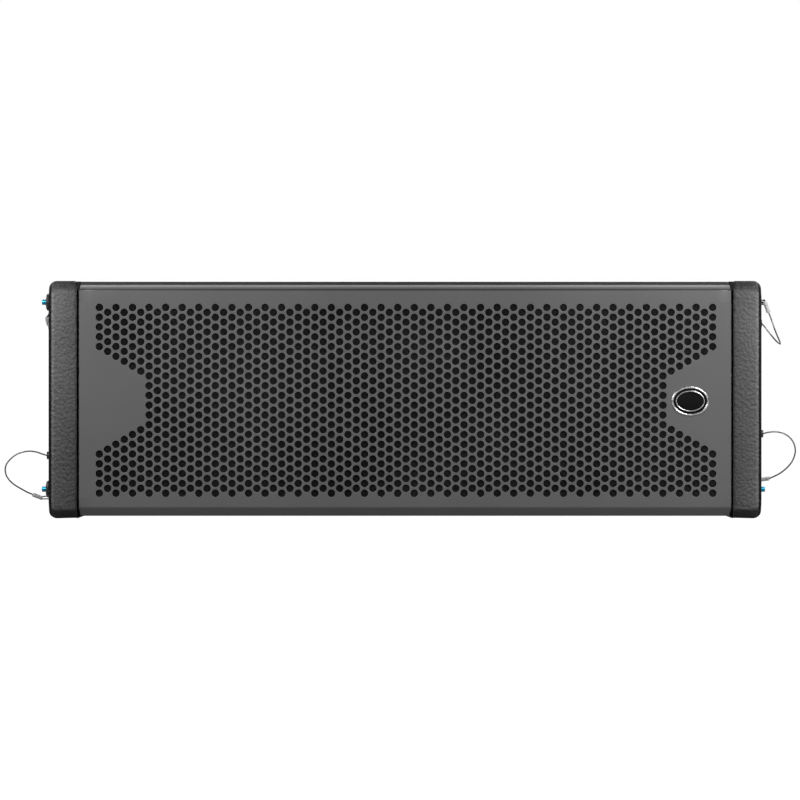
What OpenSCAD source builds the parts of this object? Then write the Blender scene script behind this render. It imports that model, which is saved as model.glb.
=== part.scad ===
// Line array loudspeaker module: wedge cabinet with perforated grille, two side caps that
// hold the rigging, telescoping link bars and ball-lock pins on wire lanyards.
// Frame: X across the width, front face towards -Y, Z up, origin at the centre of the base.

/* [Cabinet] */
// Overall width over the side caps
body_w = 750; // [720:5:800]
// Height of the front face
body_h = 250; // [245:1:260]
// Overall depth
body_d = 420; // [400:5:460]
// Angle by which the top falls towards the back
wedge = 8; // [4:0.5:8]
// Thickness of the plywood panels
panel_t = 15; // [12:1:18]
// Height of the skids below the bottom panel
skid_h = 2.6; // [2:0.2:5]

/* [Side caps] */
// Thickness of each side cap
cap_t = 29.5; // [29:0.5:32]
// Radius of the long outer edges
cap_edge_r = 8.5; // [4:0.5:10]
// Radius of the front edges
cap_front_r = 3.5; // [2:0.5:5]
// Width of the skid lip under the cabinet
cap_lip = 6; // [0.5:0.5:6]
// Height of the chamfer that meets the top
cap_bevel_h = 8; // [5:1:10]
// Height of the chamfer along the foot
cap_foot_h = 8; // [6:1:10]

/* [Grille] */
// Sheet thickness
grille_t = 1.5; // [1:0.1:2]
// Gap between the grille and each side cap
grille_gap = 2.5; // [1.5:0.5:4]
// Hole diameter
hole_d = 8; // [6:0.2:8.2]
// Distance between hole columns
hole_step_x = 8.716; // [8.7:0.002:8.9]
// Distance between holes in a column
hole_step_z = 10.28; // [10.2:0.02:10.6]
// Sideways shift of the hole pattern
hole_shift_x = 1; // [-1:0.1:1]
// Lift of the hole pattern
hole_shift_z = -0.8; // [-1:0.1:1]
// Number of hole columns
hole_columns = 75; // [71:2:75]

/* [Drivers] */
// Outer diameter of a woofer frame
woofer_d = 210; // [200:1:212]
// Distance of each woofer from the centre
woofer_x = 205; // [202:1:212]
// Outer diameter of a woofer magnet
magnet_d = 120; // [100:5:140]
// Width of the high-frequency horn mouth
horn_w = 140; // [120:5:150]

/* [Rigging] */
// Diameter of a ball-lock pin
pin_d = 8; // [8:0.1:8.1]
// Diameter of the pin holes
pin_hole_d = 8.2; // [8.2:0.05:8.4]
// Thickness of a link bar
link_t = 8; // [7:0.5:8]
// Width of a link bar
link_w = 44; // [40:1:44]
// Travel of a front link bar
front_travel = 52; // [45:1:52]
// Travel of a rear splay bar
rear_travel = 102; // [95:1:102]
// Diameter of a lanyard wire
wire_d = 1.6; // [1.2:0.1:2]

/* [Hidden] */
$fn = 48;
eps = 0.01;

// Cabinet planes
front_y = -body_d / 2;
rear_y = body_d / 2;
cap_x = body_w / 2;
wall_x1 = cap_x - cap_t;
wall_x0 = wall_x1 - panel_t;
bevel_d = 9;
top_y = front_y + bevel_d;
panel_front_y = front_y + 21;
panel_rear_y = rear_y - 3;
panel_drop = 0.6;
// Height of the sloping top over a point at depth y
function top_z(y) = body_h - (y - top_y) * tan(wedge);
function panel_top(y) = top_z(y) - panel_drop;
function panel_under(y) = panel_top(y) - panel_t / cos(wedge);
floor_z = skid_h + panel_t;
baffle_y0 = front_y + 30;
baffle_y1 = baffle_y0 + panel_t;
back_y0 = panel_rear_y - panel_t;
driver_z = 124.5;

// Rigging planes, as distances from the centre on either side
channel_wall = 3.5;
slot_play = 0.25;
channel_x1 = cap_x - 9;
slot_x1 = channel_x1 - channel_wall;
slot_x0 = slot_x1 - link_t - 2 * slot_play;
channel_x0 = slot_x0 - channel_wall;
channel_w = link_w + 14;
link_x0 = slot_x0 + slot_play;
front_rig_y = front_y + 45;
rear_rig_y = rear_y - 45;
pair_off = 11;
front_top_pin = [front_rig_y - pair_off, 228];
front_low_pin = [front_rig_y + pair_off, 30];
rear_low_pin = [rear_rig_y - pair_off, 30];
front_link_z = [front_top_pin[1] - front_travel - 12, 240];
rear_bolt = [rear_rig_y + pair_off, 172];
rear_link_z = [rear_bolt[1] - rear_travel - 10, 190];
splay_step = 12.5;
splay_top_z = 178;
head_hole_d = 24;

// Ball-lock pins: x of the collar face, and how much deeper each pin sits, left then right
collar_x = cap_x - 4.5;
top_seat = [1.5, 4.3];
low_seat = [0, 3.2];
pin_head_d = 18;
pin_head_t = 10.5;
pin_neck_d = 14;
button_d = 5.8;
button_out = 4.3;

module side(s) {
  if (s < 0) mirror([1, 0, 0]) children();
  else children();
}

// Turns a shape drawn along Z so that it runs along +X or +Y
module along_x(x, y, z) { translate([x, y, z]) rotate([90, 0, 90]) children(); }
module along_y(x, y, z) { translate([x, y, z]) rotate([-90, 0, 0]) children(); }

module rod_x(x0, x1, y, z, d) { along_x(x0, y, z) cylinder(d = d, h = x1 - x0); }
module rod_y(y0, y1, x, z, d) { along_y(x, y0, z) cylinder(d = d, h = y1 - y0); }

// Material left outside a rounded edge that runs along Z, with the edge's corner at the origin
module edge_waste(r, h) {
  linear_extrude(h, center = true) difference() {
    translate([-1, -1]) square(r + 1);
    translate([r, r]) circle(r);
  }
}

// Upright slot along Z for a rod along X, between two rod centres
module slot_x(x0, x1, y, z0, z1, d) {
  rod_x(x0, x1, y, z0, d);
  rod_x(x0, x1, y, z1, d);
  translate([x0, y - d / 2, z0]) cube([x1 - x0, d, z1 - z0]);
}

// --- Cabinet panels ---

module top_panel() {
  color("dimgray") along_x(-wall_x0, 0, 0) linear_extrude(2 * wall_x0) polygon([
    [panel_front_y, panel_under(panel_front_y)], [panel_rear_y, panel_under(panel_rear_y)],
    [panel_rear_y, panel_top(panel_rear_y)], [panel_front_y, panel_top(panel_front_y)]
  ]);
}

module bottom_panel() {
  color("dimgray") translate([-wall_x0, panel_front_y, skid_h])
    cube([2 * wall_x0, panel_rear_y - panel_front_y, panel_t]);
}

module side_wall(s) {
  color("dimgray") side(s) difference() {
    along_x(wall_x0, 0, 0) linear_extrude(panel_t) polygon([
      [panel_front_y, skid_h], [panel_rear_y, skid_h],
      [panel_rear_y, panel_top(panel_rear_y)], [panel_front_y, panel_top(panel_front_y)]
    ]);
    for (p = cap_screw_points) rod_x(wall_x0 + 2, wall_x1 + 1, p[0], p[1], 5.2);
  }
}

handle_x = 205;
handle_z = 100;
handle_cut = [150, 92];
input_cut = [140, 74];
input_z = 100;

module back_panel() {
  color("dimgray") difference() {
    along_x(-wall_x0, 0, 0) linear_extrude(2 * wall_x0) polygon([
      [back_y0, floor_z], [panel_rear_y, floor_z],
      [panel_rear_y, panel_under(panel_rear_y)], [back_y0, panel_under(back_y0)]
    ]);
    for (s = [-1, 1]) translate([s * handle_x, back_y0, handle_z])
      cube([handle_cut[0] + 1, 3 * panel_t, handle_cut[1] + 1], center = true);
    translate([0, back_y0, input_z]) cube([input_cut[0], 3 * panel_t, input_cut[1]], center = true);
    for (p = back_screw_points) rod_y(back_y0 + 2, rear_y, p[0], p[1], 4.2);
  }
}

module front_baffle() {
  color("saddlebrown") difference() {
    translate([-wall_x0, baffle_y0, floor_z])
      cube([2 * wall_x0, panel_t, panel_under(baffle_y1) - floor_z]);
    for (s = [-1, 1]) rod_y(baffle_y0 - 1, baffle_y1 + 1, s * woofer_x, driver_z, woofer_d - 22);
    translate([-(horn_w - 12) / 2, baffle_y0 - 1, driver_z - 95])
      cube([horn_w - 12, panel_t + 2, 190]);
    for (p = woofer_screw_points) rod_y(baffle_y0 - 1, baffle_y1 - 2, p[0], p[1], 4.2);
  }
}

// --- Side caps ---

cap_screw_points = [[-100, 30], [-100, 205], [100, 30], [100, 175]];
cap_foot_d = 7;

// Outline of the whole body seen from the side
module side_profile() {
  polygon([
    [front_y, cap_foot_h], [front_y + cap_foot_d, 0], [rear_y, 0], [rear_y, top_z(rear_y)],
    [top_y, body_h], [front_y + 5, body_h - cap_bevel_h / 4], [front_y, body_h - cap_bevel_h]
  ]);
}

// Chamfered lip of the skid, which reaches in under the bottom panel
module skid_lip() {
  y0 = top_y + 2;
  y1 = rear_y - 2;
  translate([0, y1, 0]) rotate([90, 0, 0]) linear_extrude(y1 - y0) polygon([
    [wall_x1 + 1, 0], [wall_x1, 0], [wall_x1 - cap_lip, skid_h], [wall_x1 + 1, skid_h]
  ]);
}

module side_cap(s) {
  color([0.15, 0.15, 0.16]) side(s) difference() {
    union() {
      along_x(wall_x1, 0, 0) linear_extrude(cap_t) side_profile();
      skid_lip();
    }
    // Pockets for the two rigging channels
    for (y = [front_rig_y, rear_rig_y])
      translate([wall_x1 - 1, y - channel_w / 2 - slot_play, -1])
        cube([channel_x1 + slot_play - wall_x1 + 1, channel_w + 2 * slot_play, body_h + 2]);
    // Holes that bare the channel around each pin head
    for (p = [front_top_pin, front_low_pin, rear_low_pin])
      rod_x(channel_x1, cap_x + 1, p[0], p[1], head_hole_d);
    // Rounded long edges, then the front edges
    translate([cap_x, 0, 0]) rotate([90, 0, 0]) rotate(90) edge_waste(cap_edge_r, 2 * body_d);
    translate([cap_x, top_y, body_h]) rotate([90 - wedge, 0, 0]) rotate(180)
      edge_waste(cap_edge_r, 2 * body_d);
    translate([cap_x, front_y, body_h / 2]) rotate(90) edge_waste(cap_front_r, 2 * body_h);
    translate([cap_x, rear_y, body_h / 2]) rotate(180) edge_waste(cap_front_r, 2 * body_h);
    for (p = cap_screw_points) {
      rod_x(wall_x1 - 1, cap_x + 1, p[0], p[1], 5.2);
      rod_x(cap_x - 4, cap_x + 1, p[0], p[1], 12);
    }
  }
}

module cap_screws() {
  color("dimgray") for (s = [-1, 1], p = cap_screw_points) side(s) difference() {
    union() {
      rod_x(wall_x0 + 3, cap_x - 3, p[0], p[1], 5);
      rod_x(cap_x - 4, cap_x - 0.8, p[0], p[1], 10);
    }
    along_x(cap_x - 2.8, p[0], p[1]) cylinder(d = 4.6, h = 4, $fn = 6);
  }
}

// --- Rigging ---

// Steel box channel in which a link bar slides; the holes are given as [y, z, diameter]
module channel(rig_y, holes) {
  difference() {
    along_x(channel_x0, 0, 0) linear_extrude(channel_x1 - channel_x0) polygon([
      [rig_y - channel_w / 2, panel_drop], [rig_y + channel_w / 2, panel_drop],
      [rig_y + channel_w / 2, panel_top(rig_y + channel_w / 2)],
      [rig_y - channel_w / 2, panel_top(rig_y - channel_w / 2)]
    ]);
    translate([slot_x0, rig_y - link_w / 2 - 1, -1])
      cube([link_t + 2 * slot_play, link_w + 2, body_h + 2]);
    for (h = holes) rod_x(channel_x0 - 1, channel_x1 + 1, h[0], h[1], h[2]);
  }
}

front_holes = [
  [front_top_pin[0], front_top_pin[1], pin_hole_d], [front_low_pin[0], front_low_pin[1], pin_hole_d],
  [front_low_pin[0], front_top_pin[1], 10]
];
rear_holes = [[rear_low_pin[0], rear_low_pin[1], pin_hole_d], [rear_low_pin[0], splay_top_z, 10]];
stop_d = 8;
front_stop = [front_rig_y, front_link_z[0] - 0.1 - stop_d / 2];

module front_channel(s) {
  color("dimgray") side(s)
    channel(front_rig_y, concat(front_holes, [[front_stop[0], front_stop[1], stop_d]]));
}

module rear_channel(s) {
  color("dimgray") side(s)
    channel(rear_rig_y, concat(rear_holes, [[rear_bolt[0], rear_bolt[1], stop_d]]));
}

// Flat bar with rounded top corners
module link_bar(rig_y, z0, z1) {
  r = 8;
  y0 = rig_y - link_w / 2 + 0.5;
  y1 = rig_y + link_w / 2 - 0.5;
  along_x(link_x0, 0, 0) linear_extrude(link_t) union() {
    translate([y0, z0]) square([y1 - y0, z1 - z0 - r]);
    translate([y0 + r, z0]) square([y1 - y0 - 2 * r, z1 - z0]);
    translate([y0 + r, z1 - r]) circle(r);
    translate([y1 - r, z1 - r]) circle(r);
  }
}

module front_link(s) {
  color("silver") side(s) difference() {
    link_bar(front_rig_y, front_link_z[0], front_link_z[1]);
    slot_x(link_x0 - 1, link_x0 + link_t + 1, front_top_pin[0],
      front_top_pin[1] - front_travel - 0.1, front_top_pin[1], pin_hole_d + 0.1);
    rod_x(link_x0 - 1, link_x0 + link_t + 1, front_low_pin[0], front_top_pin[1], pin_hole_d);
  }
}

module rear_link(s) {
  color("silver") side(s) difference() {
    link_bar(rear_rig_y, rear_link_z[0], rear_link_z[1]);
    slot_x(link_x0 - 1, link_x0 + link_t + 1, rear_bolt[0],
      rear_bolt[1] - rear_travel - 0.1, rear_bolt[1], pin_hole_d + 0.1);
    for (k = [0:4]) rod_x(link_x0 - 1, link_x0 + link_t + 1, rear_low_pin[0],
      splay_top_z - k * splay_step, pin_hole_d);
  }
}

module link_stops() {
  color("gray") for (s = [-1, 1], p = [front_stop, rear_bolt])
    side(s) rod_x(channel_x0, channel_x1, p[0], p[1], stop_d);
}

// --- Ball-lock pins ---

function seat(s, p) = -(p == front_top_pin ? top_seat : low_seat)[s < 0 ? 0 : 1];

module pin(s, p) {
  ball_d = 3.2;
  shaft_end = cap_x - 26.5 - seat(s, p);
  color([0.12, 0.12, 0.13]) side(s) translate([seat(s, p), 0, 0]) difference() {
    union() {
      rod_x(shaft_end, collar_x, p[0], p[1], pin_d);
      for (a = [-1, 1])
        translate([shaft_end + 1.3, p[0], p[1] + a * (pin_d / 2 - ball_d / 2 + 0.02)])
        sphere(d = ball_d);
      rod_x(collar_x, collar_x + 5, p[0], p[1], pin_head_d);
      rod_x(collar_x + 5, collar_x + 7.5, p[0], p[1], pin_neck_d);
      along_x(collar_x + 7.5, p[0], p[1]) rotate_extrude() polygon([
        [0, 0], [pin_head_d / 2, 0], [pin_head_d / 2, 1.2], [pin_head_d / 2 - 1, 2.3],
        [pin_head_d / 2 - 3, 3], [0, 3]
      ]);
    }
    rod_x(collar_x + 3, collar_x + pin_head_t + 1, p[0], p[1], button_d + 0.4);
  }
}

module button(s, p) {
  tip = collar_x + pin_head_t + button_out;
  color([0.16, 0.52, 0.7]) side(s) translate([seat(s, p), 0, 0]) {
    rod_x(collar_x + 5.5, tip - 0.8, p[0], p[1], button_d);
    along_x(tip - 0.8 - eps, p[0], p[1]) cylinder(d1 = button_d, d2 = button_d - 1.6, h = 0.8 + eps);
  }
}

// --- Lanyards ---

// Routes of the wires in millimetres, from the anchor to the ferrule on the pin
route_bottom_left = [
  [-379, -170, 66], [-384, -170, 67.5], [-390, -170.5, 69.5], [-397, -171.5, 70.5],
  [-404, -172, 69.5], [-411, -172, 67], [-417, -172, 62.5], [-421.5, -172, 57], [-423, -172, 51],
  [-422, -171, 45], [-418.5, -170, 39.5], [-413, -168, 34.5], [-406.5, -165, 30.5],
  [-400.5, -161.5, 27], [-395, -158.5, 24.5]
];
route_bottom_right = [
  [379, -170, 89], [384, -170.5, 90.3], [390, -171, 91], [396, -171.5, 90.5], [402, -172, 88.5],
  [407.5, -172, 84.5], [411.5, -172, 78.5], [413, -171.5, 71.5], [412, -171, 65],
  [409, -170, 58.5], [404, -168, 52.5], [398, -165, 47.5], [392, -161, 44], [386.5, -157.5, 41.5]
];
route_top_left = [
  [-377, -143.8, 214.4], [-377, -139, 218], [-377, -132.5, 220], [-377, -125.5, 219],
  [-377, -119.5, 215.5], [-377, -115.5, 209.5], [-377, -114, 202.5], [-377, -116.5, 195.5],
  [-377, -122, 190], [-377, -129, 187], [-377, -137, 186.5], [-377, -145, 188.5],
  [-377, -152.5, 193], [-377.2, -158.5, 198.5], [-377.5, -163, 204]
];
route_top_right = [
  [379, -149, 206], [381.5, -149, 203], [384.5, -149.5, 199], [388, -150.5, 194.5],
  [391.5, -153, 190], [394.5, -157.5, 186.5], [396.5, -163.5, 184.5], [397, -170, 184],
  [396.5, -177, 185], [395, -184, 188], [392.5, -189, 193], [390, -191.5, 199],
  [388, -191, 205], [386, -189, 211], [384, -186.5, 216.5]
];
// Where each ferrule meets the pin's wire loop
ferrule_bottom_left = [-385, -155.5, 20.5];
ferrule_bottom_right = [378, -154.5, 40.2];
ferrule_top_left = [-379, -169.5, 212];
ferrule_top_right = [379.8, -186.2, 228];
strand_d = 1.3;
strand_gap = 0.9;
ferrule_d = 4.6;

function unit(v) = v / norm(v);
function heading(p, i) = unit(p[min(i + 1, len(p) - 1)] - p[max(i - 1, 0)]);
// Eight points around point i of the route; side is a direction that the route never follows
function ring(p, i, r, side) =
  let (t = heading(p, i), u = unit(cross(t, side)), v = cross(t, u))
  [for (k = [0:7]) p[i] + r * (cos(45 * k) * u + sin(45 * k) * v)];

// Round wire swept along a route
module wire(p, side) {
  n = len(p);
  points = [for (i = [0:n - 1]) each ring(p, i, wire_d / 2, side)];
  sides = [for (i = [0:n - 2], k = [0:7])
    [8 * i + k, 8 * (i + 1) + k, 8 * (i + 1) + (k + 1) % 8, 8 * i + (k + 1) % 8]];
  first = [[for (k = [0:7]) k]];
  last = [[for (k = [7:-1:0]) 8 * (n - 1) + k]];
  color([0.6, 0.6, 0.6]) polyhedron(points, concat(sides, first, last), convexity = 6);
}

// Straight round bar between two points
module bar(a, b, d) {
  v = b - a;
  translate(a) rotate([0, acos(v[2] / norm(v)), atan2(v[1], v[0])]) cylinder(d = d, h = norm(v));
}

// Wire loop on the pin's neck, two strands, and the crimped ferrule that joins them to the wire
module ferrule(s, p, route, start, tangent) {
  end = route[len(route) - 1];
  dir = unit(end - start);
  neck_x = s * (collar_x + 6.25 + seat(s, p));
  across = unit(cross(dir, [0.3, -1, 0.2]));
  loop_r = 9.2;
  off = loop_r - pin_neck_d / 2 - wire_d / 2 - 0.3;
  centre = [neck_x, p[0] + off * tangent[0], p[1] + off * tangent[1]];
  rim = centre + loop_r * [0, tangent[0], tangent[1]];
  color([0.75, 0.75, 0.76]) {
    translate(centre) rotate([0, 90, 0]) rotate_extrude() translate([loop_r, 0]) circle(d = wire_d);
    for (k = [-1, 1]) bar(
      rim + k * strand_gap / 3 * across, start + dir + k * strand_gap * across, strand_d);
    bar(start, end - 0.3 * dir, ferrule_d);
  }
}

anchor_d = 8;
anchor_t = 4;

module lanyard_anchors() {
  color("silver") {
    for (s = [-1, 1]) side(s) rod_x(cap_x, cap_x + anchor_t, -170, s < 0 ? 66 : 89, anchor_d);
    side(-1) rod_x(cap_x, cap_x + anchor_t, -147, 212, anchor_d);
    side(1) rod_x(cap_x, cap_x + anchor_t, -149, 206, anchor_d);
  }
}

// --- Grille and badge ---

grille_y = front_y + 1.5;
grille_x = wall_x1 - grille_gap;
face_z = [11.7, 240];
grille_z = [skid_h, body_h - panel_drop];
// Number of holes from the top and from the bottom in the end columns
notch = [5, 5, 6, 6, 7, 7];
badge_x = 300;
badge_z = 123.5;
badge_size = [39.3, 30.8];

function column_rows(c) = c % 2 == 0 ? 20 : 19;
// A hole is left out where the solid panel reaches in from either end
function has_hole(c, r) =
  let (e = min(c, hole_columns - 1 - c), n = e < len(notch) ? notch[e] : 20)
  r < n || r >= column_rows(c) - n;

module hole_pattern() {
  for (c = [0:hole_columns - 1], r = [0:column_rows(c) - 1])
    if (has_hole(c, r)) translate([
      (c - (hole_columns - 1) / 2) * hole_step_x + hole_shift_x,
      body_h / 2 + (r - (column_rows(c) - 1) / 2) * hole_step_z + hole_shift_z
    ]) circle(d = hole_d, $fn = 24);
}

// Folded sheet: flat face, a bevel and a short flange at the top and at the bottom
module grille_sheet() {
  t = grille_t;
  lip = panel_front_y - 0.3;
  k = 0.42 * t;
  along_x(-grille_x, 0, 0) linear_extrude(2 * grille_x) polygon([
    [lip, top_z(lip) - panel_drop], [top_y, grille_z[1]], [grille_y, face_z[1]],
    [grille_y, face_z[0]], [top_y, grille_z[0]], [lip, grille_z[0]],
    [lip, grille_z[0] + t], [top_y + k, grille_z[0] + t], [grille_y + t, face_z[0] + k],
    [grille_y + t, face_z[1] - k], [top_y + k, grille_z[1] - t], [lip, top_z(lip) - panel_drop - t]
  ]);
}

module grille() {
  color([0.3, 0.3, 0.31]) difference() {
    grille_sheet();
    along_y(0, grille_y - 1, 0) mirror([0, 1, 0]) linear_extrude(grille_t + 2) hole_pattern();
  }
}

module grille_foam() {
  color([0.08, 0.08, 0.08]) translate([-wall_x0 + 1, grille_y + grille_t, face_z[0] + 3])
    cube([2 * wall_x0 - 2, 7, face_z[1] - face_z[0] - 6]);
}

module oval(w, h, t) { scale([w / h, 1, 1]) cylinder(d = h, h = t); }

module badge_rim() {
  color("silver") along_y(badge_x, grille_y - 1.4, badge_z) difference() {
    oval(badge_size[0], badge_size[1], 1.4);
    translate([0, 0, -1]) oval(badge_size[0] - 4, badge_size[1] - 4, 4);
  }
}

module badge_plate() {
  color([0.05, 0.05, 0.05]) along_y(badge_x, grille_y - 0.9, badge_z)
    oval(badge_size[0] - 4, badge_size[1] - 4, 0.9);
}

// --- Drivers; profiles give [radius, y] ---

woofer_r = woofer_d / 2;
flange_y = baffle_y0 - 4;
basket_y = baffle_y0 + 65;
magnet_y = basket_y + 4;
cone_r = 84;
coil_r = 26;
woofer_screw_points = [for (s = [-1, 1], k = [0:7])
  [s * woofer_x + (woofer_r - 5.5) * cos(45 * k + 22.5), driver_z + (woofer_r - 5.5) * sin(45 * k + 22.5)]];

module woofer_frame(s) {
  inner = woofer_r - 11;
  color([0.2, 0.2, 0.21]) difference() {
    along_y(s * woofer_x, 0, driver_z) rotate_extrude($fn = 96) polygon([
      [inner, flange_y], [woofer_r, flange_y], [woofer_r, baffle_y0], [inner - 0.5, baffle_y0],
      [54, basket_y], [54, magnet_y], [35, magnet_y], [35, basket_y], [51, basket_y],
      [inner - 3.5, baffle_y0]
    ]);
    for (k = [0:5]) translate([s * woofer_x, 0, driver_z]) rotate([0, 60 * k, 0])
      translate([0, baffle_y0 + 18, -17]) cube([woofer_r, 40, 34]);
    for (p = woofer_screw_points) rod_y(flange_y - 1, baffle_y0 + 1, p[0], p[1], 5.2);
  }
}

// Paper cone with its rim, dust cap and voice coil
module woofer_cone(s) {
  lip_y = flange_y;
  neck_y = baffle_y0 + 46;
  dome_r = 50;
  dome_edge = 32;
  dome_y = neck_y - 6.5;
  color([0.1, 0.1, 0.11]) along_y(s * woofer_x, 0, driver_z) {
    rotate_extrude($fn = 96) polygon([
      [coil_r - 1, neck_y + 1], [cone_r + 0.5, lip_y + 3], [cone_r + 2.5, lip_y + 3],
      [cone_r + 2.5, lip_y], [cone_r, lip_y], [coil_r - 1, neck_y - 1.2]
    ]);
    translate([0, 0, neck_y - 0.5]) difference() {
      cylinder(r = coil_r, h = 31);
      translate([0, 0, -1]) cylinder(r = coil_r - 1, h = 33);
    }
    intersection() {
      translate([0, 0, dome_y + sqrt(dome_r * dome_r - dome_edge * dome_edge)]) difference() {
        sphere(r = dome_r);
        sphere(r = dome_r - 1);
      }
      translate([0, 0, dome_y - 30]) cylinder(r = dome_edge + 4, h = 31);
    }
  }
}

// Half-roll surround and flat spider, which flex as the cone moves
module woofer_suspension(s) {
  roll_r = 4.9;
  roll_mid = cone_r + 6.1;
  spider_y = baffle_y0 + 56;
  color([0.05, 0.05, 0.05]) along_y(s * woofer_x, 0, driver_z) {
    rotate_extrude($fn = 96) intersection() {
      translate([roll_mid, flange_y]) difference() {
        circle(r = roll_r);
        circle(r = roll_r - 1);
      }
      translate([roll_mid - 10, flange_y - 10]) square([20, 10]);
    }
    translate([0, 0, spider_y]) difference() {
      cylinder(r = 55.8, h = 1);
      translate([0, 0, -1]) cylinder(r = coil_r + 0.05, h = 3);
    }
  }
}

module woofer_magnet(s) {
  color([0.35, 0.35, 0.36]) along_y(s * woofer_x, magnet_y, driver_z) difference() {
    union() {
      cylinder(d = magnet_d - 6, h = 8);
      translate([0, 0, 8]) cylinder(d = magnet_d, h = 26);
      translate([0, 0, 34]) cylinder(d = magnet_d - 6, h = 10);
    }
    translate([0, 0, -1]) difference() {
      cylinder(r = coil_r + 1.2, h = 30);
      cylinder(r = coil_r - 2.2, h = 30);
    }
  }
}

module woofer_screws() {
  color("dimgray") for (p = woofer_screw_points) {
    rod_y(flange_y - 2.4, flange_y, p[0], p[1], 8);
    rod_y(flange_y - eps, baffle_y1 - 3, p[0], p[1], 4.2);
  }
}

// Hollow block that tapers from the mouth to the throat
module taper(w0, h0, w1, h1, y0, y1) {
  hull() {
    translate([-w0 / 2, y0, driver_z - h0 / 2]) cube([w0, eps, h0]);
    translate([-w1 / 2, y1 - eps, driver_z - h1 / 2]) cube([w1, eps, h1]);
  }
}

module horn() {
  throat_y = baffle_y0 + 72;
  mouth_w = horn_w - 18;
  color([0.12, 0.12, 0.13]) difference() {
    union() {
      translate([-horn_w / 2, flange_y, driver_z - 102]) cube([horn_w, 4, 204]);
      taper(mouth_w + 5, 186, 48, 48, baffle_y0 - eps, throat_y);
      rod_y(throat_y - 4, throat_y + 4, 0, driver_z, 96);
    }
    taper(mouth_w, 181, 30, 30, flange_y - eps, throat_y - 8);
    rod_y(throat_y - 12, throat_y + 5, 0, driver_z, 25);
  }
}

module compression_driver() {
  y = baffle_y0 + 76;
  color([0.3, 0.3, 0.31]) {
    rod_y(y, y + 12, 0, driver_z, 96);
    rod_y(y + 12 - eps, y + 42, 0, driver_z, 88);
    rod_y(y + 42 - eps, y + 52, 0, driver_z, 60);
  }
}

module crossover_board() {
  y = 60;
  z = floor_z + 8;
  color("darkgreen") {
    translate([-70, y, z]) cube([140, 80, 1.6]);
    for (dx = [-62, 62], dy = [8, 72]) translate([dx, y + dy, floor_z]) cylinder(d = 8, h = 8 + eps);
    for (dx = [-40, 40]) translate([dx, y + 28, z + 1.6 - eps]) difference() {
      cylinder(d = 40, h = 18);
      translate([0, 0, -1]) cylinder(d = 16, h = 20);
    }
    for (dx = [-48, -16, 16, 48]) translate([dx, y + 64, z + 1.6 - eps]) cylinder(d = 16, h = 26);
  }
}

// --- Back ---

input_size = [180, 104];
socket_x = 32;
back_screw_points = concat(
  [for (x = [-82, 0, 82], z = [-44, 44]) [x, input_z + z]],
  [for (s = [-1, 1], x = [-82, 82], z = [-50, 50]) [s * handle_x + x, handle_z + z]]
);

module input_plate() {
  color([0.2, 0.2, 0.2]) difference() {
    translate([-input_size[0] / 2, panel_rear_y, input_z - input_size[1] / 2])
      cube([input_size[0], 1.5, input_size[1]]);
    for (s = [-1, 1]) rod_y(panel_rear_y - 1, rear_y, s * socket_x, input_z, 27);
    for (p = back_screw_points) rod_y(panel_rear_y - 1, rear_y, p[0], p[1], 4.6);
  }
}

module input_sockets() {
  color([0.1, 0.1, 0.1]) for (s = [-1, 1]) difference() {
    union() {
      rod_y(rear_y - 30, rear_y - 1.5 + eps, s * socket_x, input_z, 26);
      translate([s * socket_x - 16, rear_y - 1.5, input_z - 18]) cube([32, 1.5, 36]);
    }
    rod_y(rear_y - 22, rear_y + 1, s * socket_x, input_z, 22);
    for (k = [0:1]) translate([s * socket_x - 2, rear_y - 22, input_z - 12.2 + 20.4 * k]) cube([4, 24, 4]);
  }
}

module back_screws() {
  color("dimgray") for (p = back_screw_points) {
    rod_y(rear_y - 1.5, rear_y, p[0], p[1], 7.5);
    rod_y(back_y0 + 3, rear_y - 1.5 + eps, p[0], p[1], 4);
  }
}

// Recessed cup with a grip bar across its mouth
module rear_handle(s) {
  cup_d = 48;
  wall = 3;
  inner = [handle_cut[0] - 2 * wall, handle_cut[1] - 2 * wall];
  grip_d = 20;
  color([0.08, 0.08, 0.08]) translate([s * handle_x, 0, handle_z]) {
    difference() {
      union() {
        translate([-handle_cut[0] / 2, rear_y - cup_d, -handle_cut[1] / 2])
          cube([handle_cut[0], cup_d, handle_cut[1]]);
        translate([-88, panel_rear_y, -56]) cube([176, 1.5, 112]);
      }
      translate([-inner[0] / 2, rear_y - cup_d + wall, -inner[1] / 2]) cube([inner[0], cup_d, inner[1]]);
      translate([-100, rear_y - 1.5, -100]) cube([200, 4, 200]);
      for (x = [-82, 82], z = [-50, 50]) rod_y(panel_rear_y - 1, rear_y, x, z, 4.6);
    }
    rod_x(-inner[0] / 2 - eps, inner[0] / 2 + eps, rear_y - 14, inner[1] / 2 - 16, grip_d);
  }
}

top_panel();
bottom_panel();
side_wall(-1);  // side_wall_left
side_wall(1);  // side_wall_right
back_panel();
front_baffle();
side_cap(-1);  // side_cap_left
side_cap(1);  // side_cap_right
cap_screws();
front_channel(-1);  // front_channel_left
front_channel(1);  // front_channel_right
rear_channel(-1);  // rear_channel_left
rear_channel(1);  // rear_channel_right
front_link(-1);  // front_link_left
front_link(1);  // front_link_right
rear_link(-1);  // rear_link_left
rear_link(1);  // rear_link_right
link_stops();
pin(-1, front_top_pin);  // pin_front_top_left
pin(1, front_top_pin);  // pin_front_top_right
pin(-1, front_low_pin);  // pin_front_bottom_left
pin(1, front_low_pin);  // pin_front_bottom_right
pin(-1, rear_low_pin);  // pin_rear_left
pin(1, rear_low_pin);  // pin_rear_right
button(-1, front_top_pin);  // button_front_top_left
button(1, front_top_pin);  // button_front_top_right
button(-1, front_low_pin);  // button_front_bottom_left
button(1, front_low_pin);  // button_front_bottom_right
button(-1, rear_low_pin);  // button_rear_left
button(1, rear_low_pin);  // button_rear_right
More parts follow.
